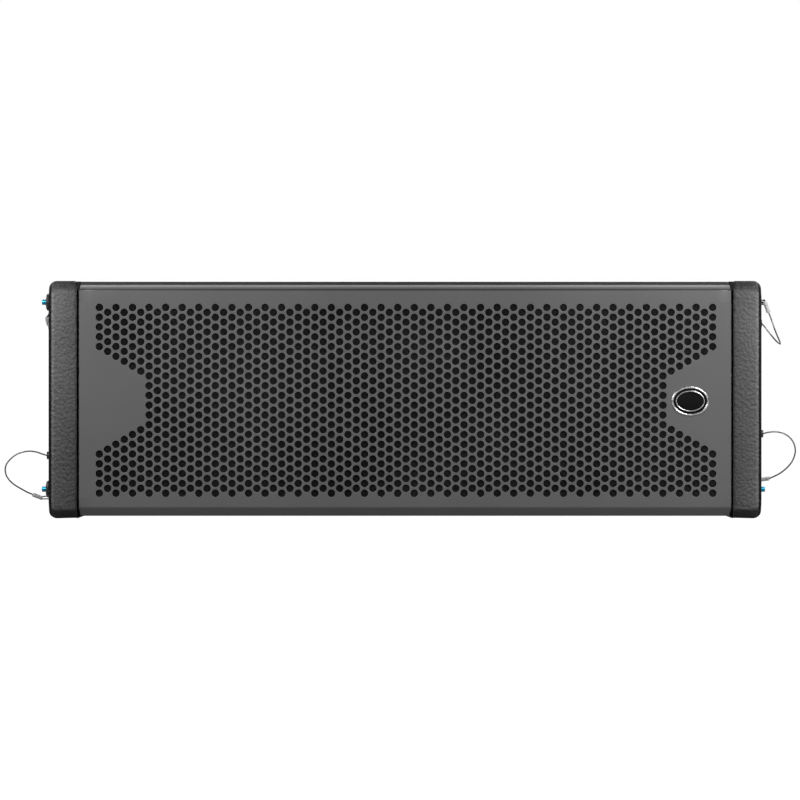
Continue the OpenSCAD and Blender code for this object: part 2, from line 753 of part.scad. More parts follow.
wire(route_top_left, [1, 0, 0]);  // lanyard_top_left
wire(route_top_right, [0.93, 0, 0.37]);  // lanyard_top_right
wire(route_bottom_left, [0, 1, 0]);  // lanyard_bottom_left
wire(route_bottom_right, [0, 1, 0]);  // lanyard_bottom_right
ferrule(-1, front_top_pin, route_top_left, ferrule_top_left, [0.6, -0.8]);
ferrule(1, front_top_pin, route_top_right, ferrule_top_right, [-1, 0]);
ferrule(-1, front_low_pin, route_bottom_left, ferrule_bottom_left, [0, -1]);
ferrule(1, front_low_pin, route_bottom_right, ferrule_bottom_right, [0, 1]);
lanyard_anchors();
grille();
grille_foam();
badge_rim();
badge_plate();
woofer_frame(-1);  // woofer_frame_left
woofer_frame(1);  // woofer_frame_right
woofer_cone(-1);  // woofer_cone_left
woofer_cone(1);  // woofer_cone_right
woofer_suspension(-1);  // woofer_suspension_left
woofer_suspension(1);  // woofer_suspension_right
woofer_magnet(-1);  // woofer_magnet_left
woofer_magnet(1);  // woofer_magnet_right
woofer_screws();
horn();
compression_driver();
crossover_board();
input_plate();
input_sockets();
back_screws();
rear_handle(-1);  // rear_handle_left
rear_handle(1);  // rear_handle_right
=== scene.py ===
"""Line array loudspeaker module: looks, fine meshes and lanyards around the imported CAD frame."""
import math
import bmesh
import bpy
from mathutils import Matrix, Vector


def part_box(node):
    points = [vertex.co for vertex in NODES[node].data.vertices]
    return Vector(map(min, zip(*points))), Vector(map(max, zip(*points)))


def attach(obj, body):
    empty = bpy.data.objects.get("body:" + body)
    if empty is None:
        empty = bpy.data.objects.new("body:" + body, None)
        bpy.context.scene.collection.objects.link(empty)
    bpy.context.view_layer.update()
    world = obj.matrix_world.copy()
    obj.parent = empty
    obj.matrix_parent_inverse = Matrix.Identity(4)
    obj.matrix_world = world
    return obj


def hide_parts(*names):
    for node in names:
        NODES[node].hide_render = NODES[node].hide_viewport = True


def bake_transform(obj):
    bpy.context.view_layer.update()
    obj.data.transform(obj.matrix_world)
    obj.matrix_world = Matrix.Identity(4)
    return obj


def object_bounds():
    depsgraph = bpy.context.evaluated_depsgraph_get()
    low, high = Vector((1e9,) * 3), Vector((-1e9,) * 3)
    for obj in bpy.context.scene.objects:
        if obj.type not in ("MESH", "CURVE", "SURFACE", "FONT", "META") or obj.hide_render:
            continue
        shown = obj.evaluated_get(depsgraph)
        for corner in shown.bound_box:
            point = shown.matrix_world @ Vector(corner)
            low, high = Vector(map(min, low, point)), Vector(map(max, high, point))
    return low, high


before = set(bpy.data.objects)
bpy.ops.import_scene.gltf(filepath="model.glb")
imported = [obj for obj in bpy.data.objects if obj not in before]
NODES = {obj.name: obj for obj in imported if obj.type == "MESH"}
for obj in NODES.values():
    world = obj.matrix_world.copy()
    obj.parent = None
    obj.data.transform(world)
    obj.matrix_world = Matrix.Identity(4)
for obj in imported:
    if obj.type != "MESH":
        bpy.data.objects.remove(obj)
cad_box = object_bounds()

MM = 0.001
SCENE = bpy.context.scene
WEDGE = math.radians(8)
TINY = 1e-7
SIDES = (("left", -1), ("right", 1))
PINS = {
    "front_top_left": "top_left", "front_top_right": "top_right",
    "front_bottom_left": "bottom_left", "front_bottom_right": "bottom_right",
    "rear_left": None, "rear_right": None,
}


# --- Small helpers -------------------------------------------------------------------------

def new_object(name, mesh, material, body="cabinet", replaced=()):
    """Links a mesh as a piece that rides on a body and may stand for CAD nodes."""
    obj = bpy.data.objects.new(name, mesh)
    SCENE.collection.objects.link(obj)
    if not mesh.materials:
        mesh.materials.append(material)
    if body:
        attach(obj, body)
    if replaced:
        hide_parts(*replaced)
    return obj


def mesh_from(name, verts, faces, smooth=None):
    """A mesh; smooth lists for each face whether it is shaded smooth."""
    mesh = bpy.data.meshes.new(name)
    mesh.from_pydata([tuple(v) for v in verts], [], faces)
    mesh.validate()
    if smooth is not None:
        mesh.polygons.foreach_set("use_smooth", smooth)
    mesh.update()
    return mesh


def smooth_by_angle(mesh, degrees):
    """Smooth shading everywhere but on edges sharper than the angle."""
    mesh.polygons.foreach_set("use_smooth", [True] * len(mesh.polygons))
    mesh.set_sharp_from_angle(angle=math.radians(degrees))


def join_meshes(name, parts):
    """One mesh from several (verts, faces) pairs."""
    verts, faces = [], []
    for v, f in parts:
        base = len(verts)
        verts += v
        faces += [tuple(i + base for i in face) for face in f]
    return mesh_from(name, verts, faces)


def lathe(profile, origin, axis, segments=40):
    """(verts, faces) of an outline of (distance along axis, radius) turned about the axis."""
    axis = Vector(axis).normalized()
    side = axis.orthogonal().normalized()
    other = axis.cross(side)
    verts, faces, rings = [], [], []
    for along, radius in profile:
        base = len(verts)
        if radius < TINY:
            verts.append(Vector(origin) + axis * along)
            rings.append([base] * segments)
            continue
        for k in range(segments):
            turn = 2 * math.pi * k / segments
            verts.append(Vector(origin) + axis * along
                         + (side * math.cos(turn) + other * math.sin(turn)) * radius)
        rings.append(list(range(base, base + segments)))
    for a, b in zip(rings, rings[1:]):
        for k in range(segments):
            m = (k + 1) % segments
            face = tuple(dict.fromkeys((a[k], a[m], b[m], b[k])))
            if len(face) > 2:
                faces.append(face)
    return verts, faces


def tube_faces(count, rings):
    """Faces between closed rings of vertices that follow one another."""
    faces = []
    for i in range(rings - 1):
        for k in range(count):
            a, b = i * count + k, i * count + (k + 1) % count
            faces.append((a, b, b + count, a + count))
    return faces


def prism_faces(count):
    """Faces of a prism whose two ends have count vertices each."""
    sides = [(k, k + count, (k + 1) % count + count, (k + 1) % count) for k in range(count)]
    return [tuple(range(count)), tuple(reversed(range(count, 2 * count)))] + sides


def block(low, high):
    """(verts, faces) of a box with outward faces."""
    verts = [(x, y, z) for x in (low[0], high[0]) for y in (low[1], high[1])
             for z in (low[2], high[2])]
    faces = [(0, 1, 3, 2), (4, 6, 7, 5), (0, 4, 5, 1), (2, 3, 7, 6), (0, 2, 6, 4), (1, 5, 7, 3)]
    return verts, faces


# --- Camera, which stands straight in front ------------------------------------------------

FRONT_Y = cad_box[0][1]
CAMERA_DISTANCE = 6.0
VIEW_WIDTH = 0.8411
VIEW_CENTRE = (-0.0053, 0.1246)
SENSOR_MM = 36.0
CLIP_END = 60

camera_data = bpy.data.cameras.new("camera")
camera_data.sensor_width = SENSOR_MM
camera_data.lens = SENSOR_MM * CAMERA_DISTANCE / VIEW_WIDTH
camera_data.clip_end = CLIP_END
camera = bpy.data.objects.new("camera", camera_data)
camera.location = (VIEW_CENTRE[0], FRONT_Y - CAMERA_DISTANCE, VIEW_CENTRE[1])
camera.rotation_euler = (math.radians(90), 0, 0)
SCENE.collection.objects.link(camera)
SCENE.camera = camera


# --- Materials -----------------------------------------------------------------------------

def shader(name, color, rough, metallic=0.0, specular=None):
    """A material with its node tree and its Principled shader."""
    material = bpy.data.materials.new(name)
    material.use_nodes = True
    tree = material.node_tree
    bsdf = tree.nodes["Principled BSDF"]
    bsdf.inputs["Base Color"].default_value = (*color, 1)
    bsdf.inputs["Roughness"].default_value = rough
    bsdf.inputs["Metallic"].default_value = metallic
    if specular is not None:
        bsdf.inputs["Specular IOR Level"].default_value = specular
    return material, tree, bsdf


def coordinates(tree, stretch=(1, 1, 1)):
    """Object coordinates, scaled by axis."""
    source = tree.nodes.new("ShaderNodeTexCoord")
    mapping = tree.nodes.new("ShaderNodeMapping")
    mapping.inputs["Scale"].default_value = stretch
    tree.links.new(source.outputs["Object"], mapping.inputs["Vector"])
    return mapping.outputs["Vector"]


def noise(tree, vector, scale, detail, roughness=0.55):
    node = tree.nodes.new("ShaderNodeTexNoise")
    node.inputs["Scale"].default_value = scale
    node.inputs["Detail"].default_value = detail
    node.inputs["Roughness"].default_value = roughness
    tree.links.new(vector, node.inputs["Vector"])
    return node.outputs["Fac"]


def cells(tree, vector, scale):
    node = tree.nodes.new("ShaderNodeTexVoronoi")
    node.feature = "SMOOTH_F1"
    node.inputs["Scale"].default_value = scale
    tree.links.new(vector, node.inputs["Vector"])
    return node.outputs["Distance"]


def ramp(tree, value, low, high, out_low, out_high):
    """A value mapped from one span to another and held at its ends."""
    node = tree.nodes.new("ShaderNodeMapRange")
    for key, number in zip(("From Min", "From Max", "To Min", "To Max"),
                           (low, high, out_low, out_high)):
        node.inputs[key].default_value = number
    tree.links.new(value, node.inputs["Value"])
    return node.outputs["Result"]


def tint(tree, bsdf, factor, dark, light):
    """Base colour between two tones by a factor."""
    node = tree.nodes.new("ShaderNodeMix")
    node.data_type = "RGBA"
    node.inputs["A"].default_value = (*dark, 1)
    node.inputs["B"].default_value = (*light, 1)
    tree.links.new(factor, node.inputs["Factor"])
    tree.links.new(node.outputs["Result"], bsdf.inputs["Base Color"])


def add(tree, a, b, weight):
    """a plus b times the weight."""
    node = tree.nodes.new("ShaderNodeMath")
    node.operation = "MULTIPLY_ADD"
    node.inputs[1].default_value = weight
    tree.links.new(b, node.inputs[0])
    tree.links.new(a, node.inputs[2])
    return node.outputs["Value"]


def bump(tree, bsdf, height, distance):
    node = tree.nodes.new("ShaderNodeBump")
    node.inputs["Distance"].default_value = distance
    node.inputs["Strength"].default_value = 1.0
    tree.links.new(height, node.inputs["Height"])
    tree.links.new(node.outputs["Normal"], bsdf.inputs["Normal"])


def shade(color, factor):
    return tuple(min(1.0, c * factor) for c in color)


def coated(name, color, rough, grain, depth, spread=0.12, cell_grain=None, specular=None):
    """Paint or powder coat: slow tone changes, a fine grain and uneven gloss."""
    material, tree, bsdf = shader(name, color, rough, specular=specular)
    where = coordinates(tree)
    slow = noise(tree, where, 9.0, 2.0)
    fine = noise(tree, where, grain, 3.0)
    tint(tree, bsdf, ramp(tree, add(tree, slow, fine, 0.35), 0.45, 0.9, 0, 1),
         shade(color, 1 - spread), shade(color, 1 + spread))
    tree.links.new(ramp(tree, fine, 0.3, 0.7, rough - 0.06, rough + 0.08), bsdf.inputs["Roughness"])
    height = fine
    if cell_grain:
        height = add(tree, fine, ramp(tree, cells(tree, where, cell_grain), 0.0, 0.7, 1, 0), 1.4)
    bump(tree, bsdf, height, depth)
    return material


def away_from_middle(tree, coordinate_set, axis):
    """Size of one coordinate, the same on both sides."""
    flat = coordinate_set == "True Normal"
    source = tree.nodes.new("ShaderNodeNewGeometry" if flat else "ShaderNodeTexCoord")
    split = tree.nodes.new("ShaderNodeSeparateXYZ")
    tree.links.new(source.outputs[coordinate_set], split.inputs[0])
    size = tree.nodes.new("ShaderNodeMath")
    size.operation = "ABSOLUTE"
    tree.links.new(split.outputs[axis], size.inputs[0])
    return size.outputs[0]


def paint_light_and_shade(material, light_bands, gloss=None):
    """Paints light and shade into the base colour: scales it by (coordinate set, axis, from, to,
    factor from, factor to) in turn.
    gloss is (from, to, level from, level to) along X."""
    tree = material.node_tree
    bsdf = tree.nodes["Principled BSDF"]
    base = bsdf.inputs["Base Color"]
    tone = base.links[0].from_socket
    for coordinate_set, axis, *span in light_bands:
        scale = tree.nodes.new("ShaderNodeVectorMath")
        scale.operation = "SCALE"
        tree.links.new(tone, scale.inputs[0])
        factor = ramp(tree, away_from_middle(tree, coordinate_set, axis), *span)
        tree.links.new(factor, scale.inputs["Scale"])
        tone = scale.outputs["Vector"]
    tree.links.new(tone, base)
    if gloss:
        level = ramp(tree, away_from_middle(tree, "Object", "X"), *gloss)
        tree.links.new(level, bsdf.inputs["Specular IOR Level"])
    return material


def metal(name, color, rough, streak=(1, 1, 1), grain=900.0, depth=0.00004):
    """Bare or plated metal with fine brushed streaks."""
    material, tree, bsdf = shader(name, color, rough, metallic=1.0)
    where = coordinates(tree, streak)
    fine = noise(tree, where, grain, 4.0)
    slow = noise(tree, coordinates(tree), 40.0, 2.0)
    tint(tree, bsdf, ramp(tree, slow, 0.35, 0.65, 0, 1), shade(color, 0.85), shade(color, 1.08))
    tree.links.new(ramp(tree, fine, 0.3, 0.7, rough - 0.08, rough + 0.12), bsdf.inputs["Roughness"])
    bump(tree, bsdf, fine, depth)
    return material


def moulded(name, color, rough, grain=1400.0, depth=0.00006):
    """Moulded plastic or rubber with a faint grain."""
    material, tree, bsdf = shader(name, color, rough)
    where = coordinates(tree)
    fine = noise(tree, where, grain, 2.0)
    slow = noise(tree, where, 25.0, 2.0)
    tint(tree, bsdf, ramp(tree, slow, 0.35, 0.65, 0, 1), shade(color, 0.88), shade(color, 1.12))
    tree.links.new(ramp(tree, fine, 0.3, 0.7, rough - 0.05, rough + 0.07), bsdf.inputs["Roughness"])
    bump(tree, bsdf, fine, depth)
    return material


def wood(name, dark, light):
    """Plywood with its grain along X."""
    material, tree, bsdf = shader(name, light, 0.6)
    where = coordinates(tree, (1.0, 30.0, 30.0))
    grain_lines = noise(tree, where, 6.0, 5.0, 0.6)
    tint(tree, bsdf, ramp(tree, grain_lines, 0.35, 0.65, 0, 1), dark, light)
    bump(tree, bsdf, grain_lines, 0.0003)
    return material


# Painted light and shade on the side caps, in the base colour: the front face darker at its inner
# side and lighter at its outer side (painted highlight), darker towards the bottom and lighter at
# the top, a painted highlight line where the outer rounding starts, a painted dark band on that
# rounding, the outer flank lifted back up, painted shade on the top bevel and painted shade on the
# foot bevel below 8 mm. CAP_GLOSS lowers the gloss on the outer rounding.
CAP_PAINTED_LIGHT = [
    ("Object", "X", 0.345, 0.369, 0.74, 1.22), ("Object", "Z", 0.01, 0.24, 0.78, 1.15),
    ("Object", "X", 0.3685, 0.3700, 1.0, 1.45), ("Object", "X", 0.3714, 0.3722, 1.0, 0.07),
    ("True Normal", "X", 0.970, 0.995, 1.0, 5.0), ("Normal", "Z", 0.05, 0.35, 1.0, 0.40),
    ("Object", "Z", 0.008, 0.0095, 0.5, 1.0),
]
CAP_GLOSS = (0.3715, 0.3725, 0.3, 0.1)
# Painted light and shade on the grille's top bend, in the base colour: a painted shadow line just
# above the flat face, a painted highlight band higher up the bend and a darker painted top strip.
GRILLE_PAINTED_LIGHT = [
    ("Object", "Z", 0.2390, 0.2400, 1.0, 0.4), ("Object", "Z", 0.2414, 0.2422, 1.0, 3.2),
    ("Object", "Z", 0.2434, 0.2440, 1.0, 1.9), ("Object", "Z", 0.2454, 0.2458, 1.0, 0.15),
]
CAP = paint_light_and_shade(
    coated("cap_leather_coat_painted_light", (0.080, 0.080, 0.082), 0.55, 520.0, 0.0008, 0.22, 330.0, 0.3),
    CAP_PAINTED_LIGHT, CAP_GLOSS)
PAINT = coated("cabinet_texture_paint", (0.040, 0.040, 0.042), 0.55, 700.0, 0.0006, 0.15, 620.0)
GRILLE = paint_light_and_shade(
    coated("grille_powder_coat_painted_light", (0.105, 0.105, 0.107), 0.42, 1500.0, 0.00005, 0.05), GRILLE_PAINTED_LIGHT)
# A lighter copy of the grille coat for the rolled hole rims: painted highlight.
RIM_HIGHLIGHT_COAT = coated("grille_hole_rims_painted_highlight", (0.16, 0.16, 0.162), 0.38, 1500.0, 0.00005, 0.05)
STEEL = coated("rigging_powder_coat", (0.045, 0.045, 0.047), 0.48, 1200.0, 0.00012)
PLATE = coated("plate_powder_coat", (0.032, 0.032, 0.034), 0.45, 1300.0, 0.00012)
LINK = metal("link_zinc", (0.46, 0.46, 0.47), 0.34, (1, 1, 12))
BOLT = metal("black_oxide_screws", (0.06, 0.06, 0.062), 0.38)
CAST = coated("driver_casting", (0.05, 0.05, 0.052), 0.5, 800.0, 0.0003)
IRON = metal("magnet_iron", (0.16, 0.16, 0.165), 0.5)
PIN = moulded("pin_black_nylon", (0.028, 0.027, 0.028), 0.36)
SHAFT = metal("pin_steel", (0.55, 0.55, 0.56), 0.25)
BLUE = metal("button_blue_anodised", (0.035, 0.35, 0.56), 0.27, (14, 1, 1), 700.0)
# A darker copy of the blue anodised button for the front top right pin: painted shade.
SHADED_BUTTON_BLUE = metal("button_blue_painted_shade", (0.012, 0.02, 0.03), 0.42, (14, 1, 1), 700.0)
WIRE = metal("wire_rope_steel", (0.22, 0.22, 0.22), 0.40)
FERRULE = coated("ferrule_aluminium", (0.50, 0.50, 0.51), 0.35, 900.0, 0.00004, 0.06)
CHROME = metal("badge_chrome", (0.90, 0.90, 0.91), 0.26, grain=300.0, depth=0.00001)
GLOSS = coated("badge_black_gloss", (0.004, 0.004, 0.004), 0.16, 300.0, 0.00001, specular=0.12)
SEAL = moulded("black_foam_strip", (0.004, 0.004, 0.004), 0.95)
FOAM = coated("open_cell_foam", (0.014, 0.014, 0.014), 0.95, 900.0, 0.0012, 0.4, 1100.0, 0.1)
PAPER = coated("treated_paper_cone", (0.025, 0.025, 0.027), 0.7, 900.0, 0.0005)
RUBBER = moulded("surround_rubber", (0.015, 0.015, 0.015), 0.7)
HORN = moulded("horn_plastic", (0.022, 0.022, 0.023), 0.45)
SOCKET = moulded("socket_plastic", (0.016, 0.016, 0.017), 0.4)
HANDLE = moulded("handle_plastic", (0.022, 0.022, 0.023), 0.5, 900.0, 0.00015)
BOARD = moulded("circuit_board_lacquer", (0.03, 0.14, 0.06), 0.35)
PLY = wood("birch_plywood", (0.20, 0.13, 0.07), (0.36, 0.25, 0.15))

NODE_MATERIALS = {
    "top_panel": PAINT, "bottom_panel": PAINT, "side_wall": PAINT, "back_panel": PAINT,
    "front_baffle": PLY, "side_cap": CAP, "cap_screws": BOLT, "woofer_screws": BOLT,
    "back_screws": BOLT, "front_channel": STEEL, "rear_channel": STEEL, "front_link": LINK,
    "rear_link": LINK, "link_stops": LINK, "pin_": PIN, "button_": BLUE, "lanyard_anchors": PIN,
    "lanyard_": WIRE, "ferrule_": FERRULE, "grille_foam": FOAM, "grille": GRILLE,
    "badge_rim": CHROME, "badge_plate": GLOSS, "woofer_frame": CAST, "woofer_cone": PAPER,
    "woofer_suspension": RUBBER, "woofer_magnet": IRON, "horn": HORN, "compression_driver": CAST,
    "crossover_board": BOARD, "input_plate": PLATE, "input_sockets": SOCKET,
    "rear_handle": HANDLE,
}


def paint_nodes():
    """Every CAD node that shows gets its procedural material."""
    for name, obj in NODES.items():
        match = max((key for key in NODE_MATERIALS if name.startswith(key)), key=len)
        obj.data.materials.clear()
        obj.data.materials.append(NODE_MATERIALS[match])


paint_nodes()


# --- Lanyards: twisted wire ropes along the CAD routes, in millimetres --------------------------

ROUTES = {
    "bottom_left": [
        (-379, -170, 66), (-384, -170, 67.5), (-390, -170.5, 69.5), (-397, -171.5, 70.5),
        (-404, -172, 69.5), (-411, -172, 67), (-417, -172, 62.5), (-421.5, -172, 57),
        (-423, -172, 51), (-422, -171, 45), (-418.5, -170, 39.5), (-413, -168, 34.5),
        (-406.5, -165, 30.5), (-400.5, -161.5, 27), (-395, -158.5, 24.5)],
    "bottom_right": [
        (379, -170, 89), (384, -170.5, 90.3), (390, -171, 91), (396, -171.5, 90.5),
        (402, -172, 88.5), (407.5, -172, 84.5), (411.5, -172, 78.5), (413, -171.5, 71.5),
        (412, -171, 65), (409, -170, 58.5), (404, -168, 52.5), (398, -165, 47.5),
        (392, -161, 44), (386.5, -157.5, 41.5)],
    "top_left": [
        (-377, -143.8, 214.4), (-377, -139, 218), (-377, -132.5, 220), (-377, -125.5, 219),
        (-377, -119.5, 215.5), (-377, -115.5, 209.5), (-377, -114, 202.5), (-377, -116.5, 195.5),
        (-377, -122, 190), (-377, -129, 187), (-377, -137, 186.5), (-377, -145, 188.5),
        (-377, -152.5, 193), (-377.2, -158.5, 198.5), (-377.5, -163, 204)],
    "top_right": [
        (379, -149, 206), (381.5, -149, 203), (384.5, -149.5, 199), (388, -150.5, 194.5),
        (391.5, -153, 190), (394.5, -157.5, 186.5), (396.5, -163.5, 184.5), (397, -170, 184),
        (396.5, -177, 185), (395, -184, 188), (392.5, -189, 193), (390, -191.5, 199),
        (388, -191, 205), (386, -189, 211), (384, -186.5, 216.5)],
}
ROPE_D = 1.6 * MM
ROPE_PITCH = 9 * MM
ROPE_STEPS = 24
STRANDS = 6


def smooth_route(points, per_span):
    """Catmull-Rom curve through the points."""
    p = [Vector(q) * MM for q in points]
    p = [2 * p[0] - p[1]] + p + [2 * p[-1] - p[-2]]
    out = []
    for i in range(1, len(p) - 2):
        for k in range(per_span):
            t = k / per_span
            out.append(0.5 * (2 * p[i] + (p[i + 1] - p[i - 1]) * t
                              + (2 * p[i - 1] - 5 * p[i] + 4 * p[i + 1] - p[i + 2]) * t * t
                              + (3 * p[i] - p[i - 1] - 3 * p[i + 1] + p[i + 2]) * t ** 3))
    return out + [p[-2]]


def sweep(path, outline_at):
    """(verts, faces) of a closed tube; outline_at(length so far) gives points across the path."""
    verts = []
    side = (path[1] - path[0]).orthogonal().normalized()
    length = 0.0
    for i, here in enumerate(path):
        ahead = path[min(i + 1, len(path) - 1)] - path[max(i - 1, 0)]
        ahead.normalize()
        side = (side - ahead * side.dot(ahead)).normalized()
        other = ahead.cross(side)
        if i:
            length += (here - path[i - 1]).length
        outline = outline_at(length)
        verts += [here + side * a + other * b for a, b in outline]
    count = len(outline)
    ends = [tuple(reversed(range(count))), tuple(range(len(verts) - count, len(verts)))]
    return verts, tube_faces(count, len(path)) + ends


def rope_outline(diameter):
    """Strands seen end-on, turning with the length."""
    def outline(length):
        turn = 2 * math.pi * length / ROPE_PITCH
        points = []
        for k in range(ROPE_STEPS):
            a = 2 * math.pi * k / ROPE_STEPS
            r = diameter / 2 * (0.90 + 0.10 * abs(math.cos(STRANDS * (a - turn) / 2)) ** 0.7)
            points.append((r * math.cos(a), r * math.sin(a)))
        return points
    return outline


def make_lanyards():
    """Makes the ropes and returns (rope, path, name) of each."""
    cords = []
    for pin, name in PINS.items():
        if not name:
            continue
        path = smooth_route(ROUTES[name], 8)
        mesh = mesh_from("lanyard_rope_" + name, *sweep(path, rope_outline(ROPE_D)))
        smooth_by_angle(mesh, 60)
        rope = new_object("lanyard_rope_" + name, mesh, WIRE, None)
        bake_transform(rope)
        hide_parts("lanyard_" + name)
        cords.append((rope, path, name))
    return cords


cords = make_lanyards()


# --- Woofer suspensions between the frame and the cone, cut in sectors --------------------------

WOOFER_X, WOOFER_Z = 205 * MM, 124.5 * MM
ROLL_MID, ROLL_Y, ROLL_R, ROLL_T = 90.1 * MM, -184 * MM, 4.88 * MM, MM
SPIDER_Y, SPIDER_R = (-123.98 * MM, -123.02 * MM), (26.1 * MM, 55.7 * MM)
SECTORS = 12
ACROSS = 12


def sector_mesh(name, profile, centre, middle, half, steps=4):
    """A closed (radius, y) profile turned about the driver's axis over one sector."""
    verts = []
    for k in range(steps + 1):
        a = middle - half + 2 * half * k / steps
        for r, y in profile:
            verts.append((centre.x + r * math.cos(a), y, centre.z + r * math.sin(a)))
    return mesh_from(name, verts, tube_faces(len(profile), steps + 1))


def make_suspensions():
    """Each ring is cut in sectors, one mesh for each sector."""
    arc = [math.pi * (1 + k / ACROSS) for k in range(ACROSS + 1)]
    roll = [(ROLL_MID + r * math.cos(a), ROLL_Y + r * math.sin(a))
            for r, turn in ((ROLL_R, arc), (ROLL_R - ROLL_T, arc[::-1])) for a in turn]
    radii = [SPIDER_R[0] + (SPIDER_R[1] - SPIDER_R[0]) * k / ACROSS for k in range(ACROSS + 1)]
    spider = [(r, SPIDER_Y[0]) for r in radii] + [(r, SPIDER_Y[1]) for r in reversed(radii)]
    half = math.pi / SECTORS
    for side, sign in SIDES:
        centre = Vector((sign * WOOFER_X, 0, WOOFER_Z))
        for part, profile in (("roll", roll), ("spider", spider)):
            for k in range(SECTORS):
                middle = 2 * half * k
                name = f"woofer_{part}_{side}_{k}"
                mesh = sector_mesh(name, profile, centre, middle, half)
                smooth_by_angle(mesh, 40)
                obj = new_object(name, mesh, RUBBER, None, ["woofer_suspension_" + side])
                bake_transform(obj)


make_suspensions()


# --- Grille: one folded sheet with a rolled rim around every hole -------------------------------

HOLE_R = 4.0 * MM
STEP_X = 8.716 * MM
STEP_Z = 10.28 * MM
SHIFT_X = 1.0 * MM
MIDDLE_Z = 124.2 * MM
COLUMNS = 75
ROWS = 20
NOTCH = (5, 5, 6, 6, 7, 7)
SHEET_T = 1.5 * MM
FACE_Z = (11.7 * MM, 240 * MM)
BEND_R = 2.6 * MM
BEND_STEPS = 5
EDGE = 0.3 * MM
SPLIT = 6


def fold_stations(corners):
    """Points and outward normals along a folded outline in (y, z), bends rounded."""
    stations = []
    for i, corner in enumerate(corners):
        here = Vector(corner)
        if i in (0, len(corners) - 1):
            j = 1 if i == 0 else i - 1
            d = (Vector(corners[j]) - here) * (1 if i == 0 else -1)
            d.normalize()
            stations.append((here, Vector((d.y, -d.x))))
            continue
        before = (here - Vector(corners[i - 1])).normalized()
        after = (Vector(corners[i + 1]) - here).normalized()
        half = before.angle(after) / 2
        pull = BEND_R * math.tan(half)
        n0, n1 = Vector((before.y, -before.x)), Vector((after.y, -after.x))
        middle = here - before * pull - n0 * BEND_R
        for k in range(BEND_STEPS + 1):
            t = k / BEND_STEPS
            n = (n0 * (1 - t) + n1 * t).normalized()
            stations.append((middle + n * BEND_R, n))
    return stations


